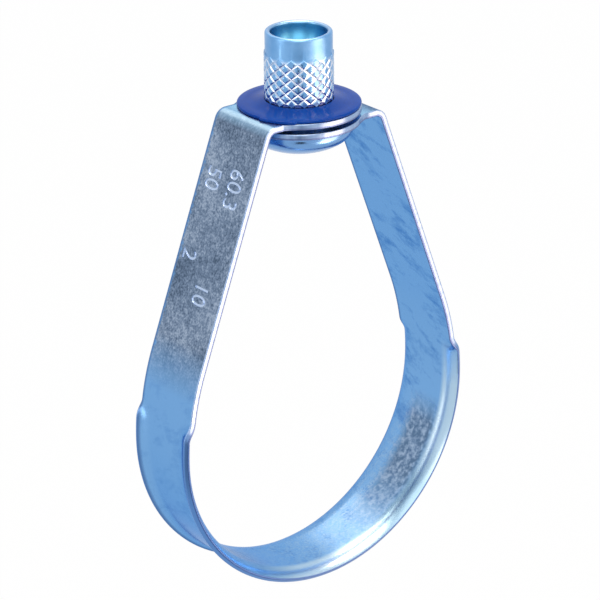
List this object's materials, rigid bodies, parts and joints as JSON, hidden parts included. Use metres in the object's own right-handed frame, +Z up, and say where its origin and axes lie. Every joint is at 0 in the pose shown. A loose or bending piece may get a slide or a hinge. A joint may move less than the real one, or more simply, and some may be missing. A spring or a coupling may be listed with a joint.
{
  "type": "swivel ring hanger",
  "caption": "Pear-shaped strip-steel ring hanger with flared lips that carries a horizontal pipe and swivels on a knurled, flanged nut for a threaded rod.",
  "frame": {"origin": "middle of the insert nut's top face, on the axis of the threaded rod that goes in there", "axes": "+Z up along the rod and swivel axis, Y along the pipe, X across the ring, with the upper eyelet's leg on the -X side"},
  "size_m": [0.0676, 0.0232, 0.1092],
  "materials": {
    "galvanized_strip": "galvanized strip steel, satin with a fine mottled zinc grain",
    "zinc_plated_nut": "bright zinc plated and polished, diamond knurl",
    "blue_washer": "glossy deep blue coating"
  },
  "bodies": {
    "nut": {"insert_nut": "zinc_plated_nut", "retaining_washer": "blue_washer"},
    "band": {"band": "galvanized_strip"}
  },
  "joints": [
    {"name": "band_swivel", "type": "hinge", "parent": "nut", "child": "band", "pos_m": [0, 0, -0.01596], "axis": [0, 0, 1], "continuous": true}
  ]
}
